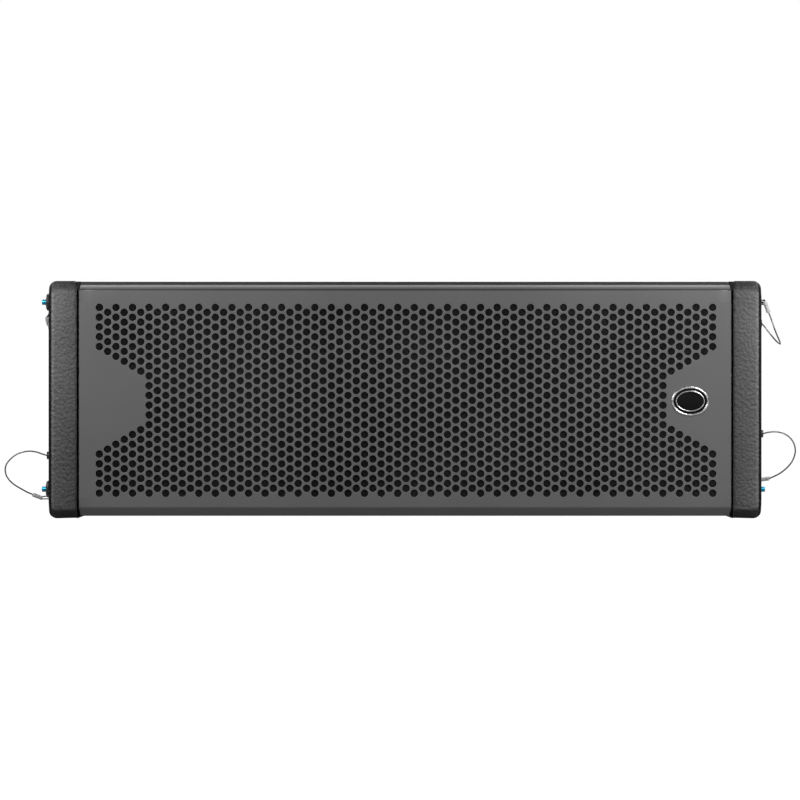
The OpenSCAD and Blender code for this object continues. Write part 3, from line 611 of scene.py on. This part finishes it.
def grille_mesh():
    """The folded sheet, with a cell of SPLIT by SPLIT steps around each hole."""
    low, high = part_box("grille")
    half_x = high[0]
    lip_y, face_y = high[1], low[1]
    bend_y = FRONT_Y + 9 * MM
    top_corner = (bend_y, high[2])
    lip_z = high[2] - (lip_y - bend_y) * math.tan(WEDGE)
    corners = [(lip_y, lip_z), top_corner, (face_y, FACE_Z[1]), (face_y, FACE_Z[0]),
               (bend_y, low[2]), (lip_y, low[2])]
    folds = fold_stations(corners)
    grid_z = [MIDDLE_Z + (ROWS * SPLIT / 2 - k) * STEP_Z / SPLIT for k in range(ROWS * SPLIT + 1)]
    upper = [s for s in folds if s[0].y > grid_z[0]]
    lower = [s for s in folds if s[0].y < grid_z[-1]]
    flat = [(Vector((face_y, z)), Vector((-1, 0))) for z in grid_z]
    stations = upper + flat + lower
    first = len(upper)
    grid_x = [(k / SPLIT - COLUMNS / 2) * STEP_X + SHIFT_X for k in range(COLUMNS * SPLIT + 1)]
    xs = [-half_x, -half_x + EDGE] + grid_x + [half_x - EDGE, half_x]
    column_0 = 2

    verts, faces, smooth, painted_highlight_slot, grid = [], [], [], [], {}

    def end_pull(place):
        """How far the rounded corners draw the ends of the sheet in at its folds."""
        if place.y > FACE_Z[1]:
            return 2.5 * MM * min(1, (place.y - FACE_Z[1]) / (9 * MM)) ** 0.8
        if place.y < FACE_Z[0]:
            return 1.6 * MM * min(1, (FACE_Z[0] - place.y) / (9 * MM)) ** 1.5
        return 0

    def point(i, s, back):
        """Index of the vertex at a grid place, on the front or the back of the sheet."""
        key = (i, s, back)
        if key not in grid:
            place, normal = stations[s]
            edge = i in (0, len(xs) - 1)
            depth = SHEET_T if back else (EDGE if edge else 0)
            p = place - normal * depth
            x = xs[i]
            if i < 2 or i > len(xs) - 3:
                x -= math.copysign(end_pull(place), x)
            grid[key] = len(verts)
            verts.append((x, p.x, p.y))
        return grid[key]

    def quad(a, b, c, d, is_smooth, is_rim=False):
        faces.append((a, b, c, d))
        smooth.append(is_smooth)
        painted_highlight_slot.append(int(is_rim))

    def sheet_patch(i0, i1, s0, s1):
        for i in range(i0, i1):
            for s in range(s0, s1):
                bent = not (first <= s < first + ROWS * SPLIT)
                quad(point(i, s, 0), point(i, s + 1, 0), point(i + 1, s + 1, 0),
                     point(i + 1, s, 0), bent)
                quad(point(i, s, 1), point(i + 1, s, 1), point(i + 1, s + 1, 1),
                     point(i, s + 1, 1), bent)

    rim = [(HOLE_R + 0.34 * MM, 0.0), (HOLE_R + 0.14 * MM, 0.05 * MM),
           (HOLE_R + 0.03 * MM, 0.16 * MM), (HOLE_R, 0.36 * MM), (HOLE_R, SHEET_T)]

    def hole_cell(i0, s0):
        """A square cell of the sheet with a round hole and its rolled rim."""
        n = SPLIT
        loop = ([(i0, s0 + k) for k in range(n)] + [(i0 + k, s0 + n) for k in range(n)]
                + [(i0 + n, s0 + n - k) for k in range(n)] + [(i0 + n - k, s0) for k in range(n)])
        cx = (xs[i0] + xs[i0 + n]) / 2
        cz = (stations[s0][0].y + stations[s0 + n][0].y) / 2
        rings = [[point(i, s, 0) for i, s in loop]]
        for radius, depth in rim:
            ring = []
            for k in range(len(loop)):
                turn = math.radians(135) + 2 * math.pi * k / len(loop)
                ring.append(len(verts))
                verts.append((cx + radius * math.cos(turn), face_y + depth,
                              cz + radius * math.sin(turn)))
            rings.append(ring)
        rings.append([point(i, s, 1) for i, s in loop])
        # The two outer rings of each rim take the lighter coat: painted highlight.
        for level, (a, b) in enumerate(zip(rings, rings[1:])):
            curved = 1 <= level <= 4
            for k in range(len(loop)):
                m = (k + 1) % len(loop)
                quad(a[k], a[m], b[m], b[k], curved, level in (1, 2))

    last_i = len(xs) - 1
    sheet_patch(0, column_0, 0, len(stations) - 1)
    sheet_patch(last_i - 2, last_i, 0, len(stations) - 1)
    sheet_patch(column_0, last_i - 2, 0, first)
    sheet_patch(column_0, last_i - 2, first + ROWS * SPLIT, len(stations) - 1)
    for c in range(COLUMNS):
        i0 = column_0 + c * SPLIT
        odd = c % 2
        count = ROWS - odd
        edge = min(c, COLUMNS - 1 - c)
        keep = NOTCH[edge] if edge < len(NOTCH) else ROWS
        s0 = first
        if odd:
            sheet_patch(i0, i0 + SPLIT, s0, s0 + SPLIT // 2)
            s0 += SPLIT // 2
        for r in range(count):
            if r < keep or r >= count - keep:
                hole_cell(i0, s0)
            else:
                sheet_patch(i0, i0 + SPLIT, s0, s0 + SPLIT)
            s0 += SPLIT
        if odd:
            sheet_patch(i0, i0 + SPLIT, s0, s0 + SPLIT // 2)
    for s in range(len(stations) - 1):
        quad(point(0, s, 1), point(0, s + 1, 1), point(0, s + 1, 0), point(0, s, 0), False)
        quad(point(last_i, s, 0), point(last_i, s + 1, 0), point(last_i, s + 1, 1),
             point(last_i, s, 1), False)
    end = len(stations) - 1
    for i in range(last_i):
        quad(point(i, 0, 0), point(i + 1, 0, 0), point(i + 1, 0, 1), point(i, 0, 1), False)
        quad(point(i, end, 1), point(i + 1, end, 1), point(i + 1, end, 0), point(i, end, 0), False)
    mesh = mesh_from("grille_sheet", verts, faces, smooth)
    for material in (GRILLE, RIM_HIGHLIGHT_COAT):
        mesh.materials.append(material)
    mesh.polygons.foreach_set("material_index", painted_highlight_slot)
    return mesh


new_object("grille_sheet", grille_mesh(), GRILLE, replaced=["grille"])


SEAL_OUTLINE = [(-0.2045, 0.240), (-0.190, 0.232), (-0.190, 0.2478), (-0.201, 0.2494),
                (-0.2035, 0.2482)]
SEAL_X = (-2.2 * MM, 2.4 * MM)


def seal_strip(sign):
    """Foam strip that closes the gap between the sheet and a side cap at the top."""
    sheet_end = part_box("grille")[1][0]
    verts = [(sign * (sheet_end + x), y, z) for x in SEAL_X for y, z in SEAL_OUTLINE]
    faces = prism_faces(len(SEAL_OUTLINE))
    if sign < 0:
        faces = [tuple(reversed(f)) for f in faces]
    return mesh_from("seal_strip", verts, faces)


for side_name, side_sign in SIDES:
    new_object("seal_strip_" + side_name, seal_strip(side_sign), SEAL)


# --- Side caps ---------------------------------------------------------------------------------

CAP_T = 29.5 * MM
CAP_EDGE_R = 8.5 * MM
CAP_FRONT_R = 3.2 * MM
CAP_BEVEL = (5 * MM, 8 * MM)
CAP_FOOT = (7 * MM, 8 * MM)
SKID_LIP = 6 * MM
SKID_H = 2.6 * MM
HEAD_HOLE_R = 12 * MM
CHANNEL_GAP = 0.25 * MM
PAST = 10 * MM
PIN_POINTS = ((-0.176, 0.228), (-0.154, 0.030), (0.154, 0.030))
SCREW_POINTS = ((-0.100, 0.030), (-0.100, 0.205), (0.100, 0.030), (0.100, 0.175))


def bevel_edges(bm, chosen, width, segments):
    bmesh.ops.bevel(bm, geom=chosen, offset=width, segments=segments, profile=0.5,
                    affect="EDGES", clamp_overlap=True)


def cut(target, cutters):
    """Subtracts the cutter meshes from the target mesh and returns the new mesh."""
    obj = bpy.data.objects.new("cut_target", target)
    SCENE.collection.objects.link(obj)
    tool = bpy.data.objects.new("cut_tool", cutters)
    SCENE.collection.objects.link(tool)
    modifier = obj.modifiers.new("cut", "BOOLEAN")
    modifier.operation = "DIFFERENCE"
    modifier.solver = "EXACT"
    modifier.use_self = True
    modifier.object = tool
    bpy.context.view_layer.update()
    evaluated = obj.evaluated_get(bpy.context.evaluated_depsgraph_get())
    result = bpy.data.meshes.new_from_object(evaluated)
    bpy.data.objects.remove(obj)
    bpy.data.objects.remove(tool)
    return result


def cap_mesh(name):
    """A side cap made on the right, with its channels and holes, and mirrored for the left."""
    low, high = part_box(name)
    sign = 1 if high[0] > 0 else -1
    outer = max(abs(low[0]), abs(high[0]))
    inner = outer - CAP_T
    front, rear, top = low[1], high[1], high[2]
    top_y = front + 9 * MM
    rear_z = top - (rear - top_y) * math.tan(WEDGE)
    outline = [(front, CAP_FOOT[1]), (front + CAP_FOOT[0], 0), (rear, 0), (rear, rear_z),
               (top_y, top), (front + CAP_BEVEL[0], top - CAP_BEVEL[1] / 4),
               (front, top - CAP_BEVEL[1])]
    bm = bmesh.new()
    sides = [[bm.verts.new((x, y, z)) for y, z in outline] for x in (inner, outer)]
    n = len(outline)
    bm.faces.new(sides[0])
    bm.faces.new(reversed(sides[1]))
    for k in range(n):
        bm.faces.new((sides[0][k], sides[1][k], sides[1][(k + 1) % n], sides[0][(k + 1) % n]))
    bmesh.ops.recalc_face_normals(bm, faces=bm.faces)

    def outer_edges(indices):
        pairs = [{sides[1][k], sides[1][(k + 1) % n]} for k in indices]
        return [e for e in bm.edges if set(e.verts) in pairs]
    bevel_edges(bm, outer_edges((0, 1, 3, 4, 5)), CAP_EDGE_R, 7)
    sharp = [e for e in bm.edges if e.is_manifold and e.calc_face_angle() > math.radians(35)
             and all(v.co.y < top_y + 1 * MM for v in e.verts)
             or e.is_manifold and e.calc_face_angle() > math.radians(60)
             and all(v.co.y > rear - 1 * MM for v in e.verts)]
    bevel_edges(bm, sharp, CAP_FRONT_R, 4)
    base = bpy.data.meshes.new("cap_base")
    bm.to_mesh(base)
    bm.free()
    holes = []
    for node in ("front_channel_right", "rear_channel_right"):
        a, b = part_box(node)
        holes.append(block((inner - PAST, a[1] - CHANNEL_GAP, -PAST),
                           (b[0] + CHANNEL_GAP, b[1] + CHANNEL_GAP, top + PAST)))
        wall_x = b[0]
    depth = outer - wall_x
    head_hole = [(0, 0), (0, HEAD_HOLE_R), (depth - 1.0 * MM, HEAD_HOLE_R),
                 (depth - 0.3 * MM, HEAD_HOLE_R + 0.35 * MM),
                 (depth + 0.6 * MM, HEAD_HOLE_R + 1.6 * MM), (depth + PAST, HEAD_HOLE_R + 1.6 * MM),
                 (depth + PAST, 0)]
    for y, z in PIN_POINTS:
        holes.append(lathe(head_hole, (wall_x, y, z), (1, 0, 0), 64))
    for y, z in SCREW_POINTS:
        holes.append(lathe([(0, 0), (0, 6 * MM), (0.0036, 6 * MM), (0.0046, 7 * MM), (0.02, 7 * MM),
                            (0.02, 0)], (outer - 4 * MM, y, z), (1, 0, 0), 48))
    mesh = cut(base, join_meshes("cap_holes", holes))
    bm = bmesh.new()
    bm.from_mesh(mesh)
    bmesh.ops.remove_doubles(bm, verts=bm.verts, dist=1e-6)
    if sign < 0:
        bmesh.ops.scale(bm, vec=(-1, 1, 1), verts=bm.verts)
        bmesh.ops.reverse_faces(bm, faces=bm.faces)
    bm.to_mesh(mesh)
    bm.free()
    mesh.name = name + "_shell"
    smooth_by_angle(mesh, 30)
    return mesh


def lip_mesh(name, sign):
    """Chamfered lip of the skid under the edge of the bottom panel."""
    low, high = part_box(name)
    wall = max(abs(low[0]), abs(high[0])) - CAP_T
    section = [(wall, 0), (wall, SKID_H), (wall - SKID_LIP, SKID_H),
               (wall - SKID_LIP, SKID_H - 0.3 * MM), (wall - 0.5 * MM, 0)]
    ends = (low[1] + 11 * MM, high[1] - 2 * MM)
    verts = [(sign * x, y, z) for y in ends for x, z in section]
    mesh = mesh_from("skid_lip", verts, prism_faces(len(section)))
    bm = bmesh.new()
    bm.from_mesh(mesh)
    bmesh.ops.recalc_face_normals(bm, faces=bm.faces)
    bm.to_mesh(mesh)
    bm.free()
    return mesh


for side_name, side_sign in SIDES:
    cap_name = "side_cap_" + side_name
    new_object(cap_name + "_shell", cap_mesh(cap_name), CAP, replaced=[cap_name])
    new_object("skid_lip_" + side_name, lip_mesh(cap_name, side_sign), CAP)


# --- Pins, buttons and the fittings on the lanyards --------------------------------------------

HEAD_PROFILE = [(0, 0), (0, 8.5), (0.5, 9.0), (4.4, 9.0), (5.0, 8.4), (5.0, 7.0), (7.5, 7.0),
                (7.5, 8.6), (7.9, 9.0), (8.6, 9.0), (9.3, 8.5), (9.9, 7.7), (10.3, 6.7),
                (10.5, 5.6), (10.5, 3.7), (10.1, 3.1), (3.0, 3.1), (3.0, 0)]
BUTTON_PROFILE = [(5.5, 0), (5.5, 2.9), (12.1, 2.9), (12.25, 2.65), (12.6, 2.65), (12.75, 2.9),
                  (14.0, 2.9), (14.45, 2.65), (14.75, 2.2), (14.8, 1.6), (14.8, 0)]
HEAD_LENGTH = 10.5 * MM
SHAFT_R = 4 * MM
BALL_R = 1.6 * MM
NECK = 6.25 * MM
LOOP_R = 9.2 * MM
EYE_STEPS = 48
RIBS = 5
STRAND_D = 1.3 * MM
EYE_SWEEP = {"bottom_left": (2, 308)}
FERRULE_STARTS = {
    "bottom_left": ((-385, -155.5, 20.5), (0, -1)), "bottom_right": ((378, -154.5, 40.2), (0, 1)),
    "top_left": ((-379, -169.5, 212), (0.6, -0.8)), "top_right": ((379.8, -186.2, 228), (-1, 0)),
}


def scaled(profile):
    return [(a * MM, b * MM) for a, b in profile]


def pin_axis(pin):
    """(side, y, z, distance of the collar, distance of the inner end) of a pin."""
    low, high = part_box("pin_" + pin)
    sign = 1 if high[0] > 0 else -1
    inner, tip = sorted((abs(low[0]), abs(high[0])))
    return sign, (low[1] + high[1]) / 2, (low[2] + high[2]) / 2, tip - HEAD_LENGTH, inner


def make_pins():
    for pin in PINS:
        sign, y, z, collar_x, inner = pin_axis(pin)
        collar = sign * collar_x
        body = "pin_" + pin
        head = join_meshes("pin_head_" + pin, [lathe(scaled(HEAD_PROFILE), (collar, y, z),
                                                     (sign, 0, 0), 56)])
        smooth_by_angle(head, 35)
        new_object("pin_head_" + pin, head, PIN, body, [body])
        reach = collar_x - inner
        shaft_profile = [(-reach, 0), (-reach, SHAFT_R - 0.8 * MM), (-reach + 0.8 * MM, SHAFT_R),
                         (0, SHAFT_R), (0, 0)]
        parts = [lathe(shaft_profile, (collar, y, z), (sign, 0, 0), 40)]
        ball = [(BALL_R * math.cos(math.radians(a)), BALL_R * math.sin(math.radians(a)))
                for a in range(0, 181, 15)]
        for side in (-1, 1):
            parts.append(lathe(ball, (collar - sign * (reach - 1.3 * MM), y, z + side * 2.42 * MM),
                               (1, 0, 0), 20))
        shaft = join_meshes("pin_shaft_" + pin, parts)
        smooth_by_angle(shaft, 35)
        new_object("pin_shaft_" + pin, shaft, SHAFT, body)
        button = join_meshes("release_button_" + pin, [lathe(scaled(BUTTON_PROFILE),
                                                             (collar, y, z), (sign, 0, 0), 40)])
        smooth_by_angle(button, 35)
        name = "button_" + pin
        # The front top right button takes the darker copy: painted shade.
        new_object("release_button_" + pin, button,
                   SHADED_BUTTON_BLUE if pin == "front_top_right" else BLUE, name, [name])


def make_ferrules():
    """The wire eye round each pin's neck, and the sleeve that closes it."""
    for pin, name in PINS.items():
        if not name:
            continue
        sign, y, z, collar_x, _ = pin_axis(pin)
        neck_x = sign * (collar_x + NECK)
        start, toward = FERRULE_STARTS[name]
        start = Vector(start) * MM
        end = Vector(ROUTES[name][-1]) * MM
        along = (end - start).normalized()
        across = along.cross(Vector((0.3, -1, 0.2))).normalized()
        sag = LOOP_R - 7 * MM - ROPE_D / 2 - 0.3 * MM
        middle = Vector((neck_x, y + sag * toward[0], z + sag * toward[1]))
        aim = math.atan2(toward[1], toward[0])
        loop = []
        eye_start, eye_turn = EYE_SWEEP.get(name, (14, 332))
        for k in range(EYE_STEPS + 1):
            a = aim + math.radians(eye_start + eye_turn * k / EYE_STEPS)
            loop.append(middle + Vector((0, LOOP_R * math.cos(a), LOOP_R * math.sin(a))))
        first = across * (1.3 * MM) * (1 if (loop[0] - loop[-1]).dot(across) > 0 else -1)
        path = [start + along * MM + first] + loop + [start + along * MM - first]
        eye = smooth_route([tuple(p / MM) for p in path], 2)
        mesh = join_meshes("lanyard_eye_" + name, [sweep(eye, rope_outline(STRAND_D))])
        smooth_by_angle(mesh, 60)
        new_object("lanyard_eye_" + name, mesh, WIRE, "pin_" + pin)
        length = (end - start).length - 0.3 * MM
        ribs = [(0, 0), (0, 1.9 * MM), (0.4 * MM, 2.25 * MM)]
        for k in range(RIBS):
            a = length * (0.12 + 0.76 * k / RIBS)
            b = length * (0.12 + 0.76 * (k + 0.55) / RIBS)
            ribs += [(a, 2.28 * MM), (a + 0.2 * MM, 1.95 * MM), (b - 0.1 * MM, 1.95 * MM),
                     (b + 0.1 * MM, 2.28 * MM)]
        ribs += [(length - 0.4 * MM, 2.25 * MM), (length, 1.9 * MM), (length, 0)]
        sleeve = join_meshes("lanyard_sleeve_" + name, [lathe(ribs, start, along, 28)])
        smooth_by_angle(sleeve, 40)
        new_object("lanyard_sleeve_" + name, sleeve, FERRULE, "pin_" + pin, ["ferrule_" + name])


make_pins()
make_ferrules()


# --- Badge: a chromed rim round a plain black plate --------------------------------------------

OVAL_STEPS = 96


def oval_rings(name, rings, material, replaced, closed=False):
    """rings are (distance inside the outer edge, height above the grille), in millimetres.
    Without closed the last ring is filled."""
    low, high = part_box("badge_rim")
    cx, cz = (low[0] + high[0]) / 2, (low[2] + high[2]) / 2
    half_w, half_h = (high[0] - low[0]) / 2, (high[2] - low[2]) / 2
    steps = OVAL_STEPS
    verts, faces = [], []
    for inset, height in rings:
        for k in range(steps):
            a = 2 * math.pi * k / steps
            verts.append((cx + (half_w - inset * MM) * math.cos(a), high[1] - height * MM,
                          cz + (half_h - inset * MM) * math.sin(a)))
    count = len(rings)
    for j in range(count if closed else count - 1):
        a, b = j * steps, (j + 1) % count * steps
        faces += [(a + k, a + (k + 1) % steps, b + (k + 1) % steps, b + k) for k in range(steps)]
    if not closed:
        faces.append(tuple(range((count - 1) * steps, count * steps)))
        faces.append(tuple(reversed(range(steps))))
    mesh = mesh_from(name, verts, faces)
    smooth_by_angle(mesh, 40)
    new_object(name, mesh, material, replaced=replaced)


oval_rings("badge_chrome_rim",
           [(0, 0), (0, 0.7), (0.25, 1.15), (0.8, 1.38), (1.3, 1.3), (1.8, 0.95), (2.0, 0.6),
            (2.0, 0)], CHROME, ["badge_rim"], closed=True)
oval_rings("badge_black_plate", [(2.0, 0), (2.0, 0.62), (5, 0.74), (9, 0.84), (13, 0.89)],
           GLOSS, ["badge_plate"])
oval_rings("badge_inner_line",
           [(4.6, 0.5), (4.6, 0.9), (4.8, 1.0), (5.1, 1.0), (5.3, 0.9), (5.3, 0.5)],
           CHROME, [], closed=True)


# --- Edges of the plain CAD parts ---------------------------------------------------------------

EDGE_WIDTHS = {
    "top_panel": 1.2, "bottom_panel": 1.2, "side_wall": 0.8, "back_panel": 0.8,
    "front_channel": 0.4, "rear_channel": 0.4, "front_link": 0.6, "rear_link": 0.6,
    "input_plate": 0.4, "input_sockets": 0.4, "rear_handle": 1.2,
}
for node_name, node_obj in NODES.items():
    for key, width in EDGE_WIDTHS.items():
        if node_name.startswith(key):
            soften = node_obj.modifiers.new("edges", "BEVEL")
            soften.width = width * MM
            soften.segments = 3
            soften.limit_method = "ANGLE"
            soften.angle_limit = math.radians(50)


# --- Stage and light ------------------------------------------------------------------------------

def make_stage():
    """A pale floor that the camera sees as nearly white."""
    mesh = mesh_from("studio_floor", *block((-9, -9, -0.02), (9, 9, -0.0002)))
    floor = bpy.data.objects.new("studio_floor", mesh)
    SCENE.collection.objects.link(floor)
    material, tree, bsdf = shader("floor_white", (0.45, 0.45, 0.45), 0.8)
    glow = tree.nodes.new("ShaderNodeEmission")
    glow.inputs["Strength"].default_value = 1.06
    rays = tree.nodes.new("ShaderNodeLightPath")
    mix = tree.nodes.new("ShaderNodeMixShader")
    half = tree.nodes.new("ShaderNodeMath")
    half.operation = "MULTIPLY"
    half.inputs[1].default_value = 0.96
    tree.links.new(rays.outputs["Is Camera Ray"], half.inputs[0])
    tree.links.new(half.outputs[0], mix.inputs[0])
    tree.links.new(bsdf.outputs[0], mix.inputs[1])
    tree.links.new(glow.outputs[0], mix.inputs[2])
    tree.links.new(mix.outputs[0], tree.nodes["Material Output"].inputs["Surface"])
    mesh.materials.append(material)


def make_world(ambient):
    world = bpy.data.worlds.new("studio")
    SCENE.world = world
    world.use_nodes = True
    tree = world.node_tree
    back = tree.nodes["Background"]
    back.inputs["Color"].default_value = (1, 1, 1, 1)
    back.inputs["Strength"].default_value = ambient
    seen = tree.nodes.new("ShaderNodeBackground")
    seen.inputs["Color"].default_value = (1, 1, 1, 1)
    seen.inputs["Strength"].default_value = 1.0
    rays = tree.nodes.new("ShaderNodeLightPath")
    mix = tree.nodes.new("ShaderNodeMixShader")
    tree.links.new(rays.outputs["Is Camera Ray"], mix.inputs[0])
    tree.links.new(back.outputs[0], mix.inputs[1])
    tree.links.new(seen.outputs[0], mix.inputs[2])
    tree.links.new(mix.outputs[0], tree.nodes["World Output"].inputs["Surface"])


def softbox(name, place, target, size, power):
    """Rectangular light that the camera doesn't see."""
    data = bpy.data.lights.new(name, "AREA")
    data.shape = "RECTANGLE"
    data.size, data.size_y = size
    data.energy = power
    light = bpy.data.objects.new(name, data)
    light.location = place
    aim = Vector(target) - Vector(place)
    light.rotation_euler = aim.to_track_quat("-Z", "Y").to_euler()
    light.visible_camera = False
    SCENE.collection.objects.link(light)


make_stage()
make_world(0.05)
softbox("softbox_left", (-0.56, -0.68, 0.58), (-0.3, -0.2, 0.12), (0.26, 0.26), 4.4)
softbox("softbox_right", (0.58, -0.68, 0.54), (0.3, -0.2, 0.12), (0.26, 0.26), 4.8)
softbox("softbox_front", (0, -3.2, 0.4), (0, 0, 0.12), (1.6, 0.8), 3)
softbox("softbox_back", (0.4, 2.4, 1.3), (0, 0.2, 0.12), (1.8, 1.2), 40)
softbox("softbox_side_left", (-2.2, 1.6, 0.9), (0, 0.1, 0.12), (1.0, 1.0), 14)
softbox("softbox_side_right", (2.2, 1.6, 0.9), (0, 0.1, 0.12), (1.0, 1.0), 14)
SCENE.view_settings.view_transform = "Standard"
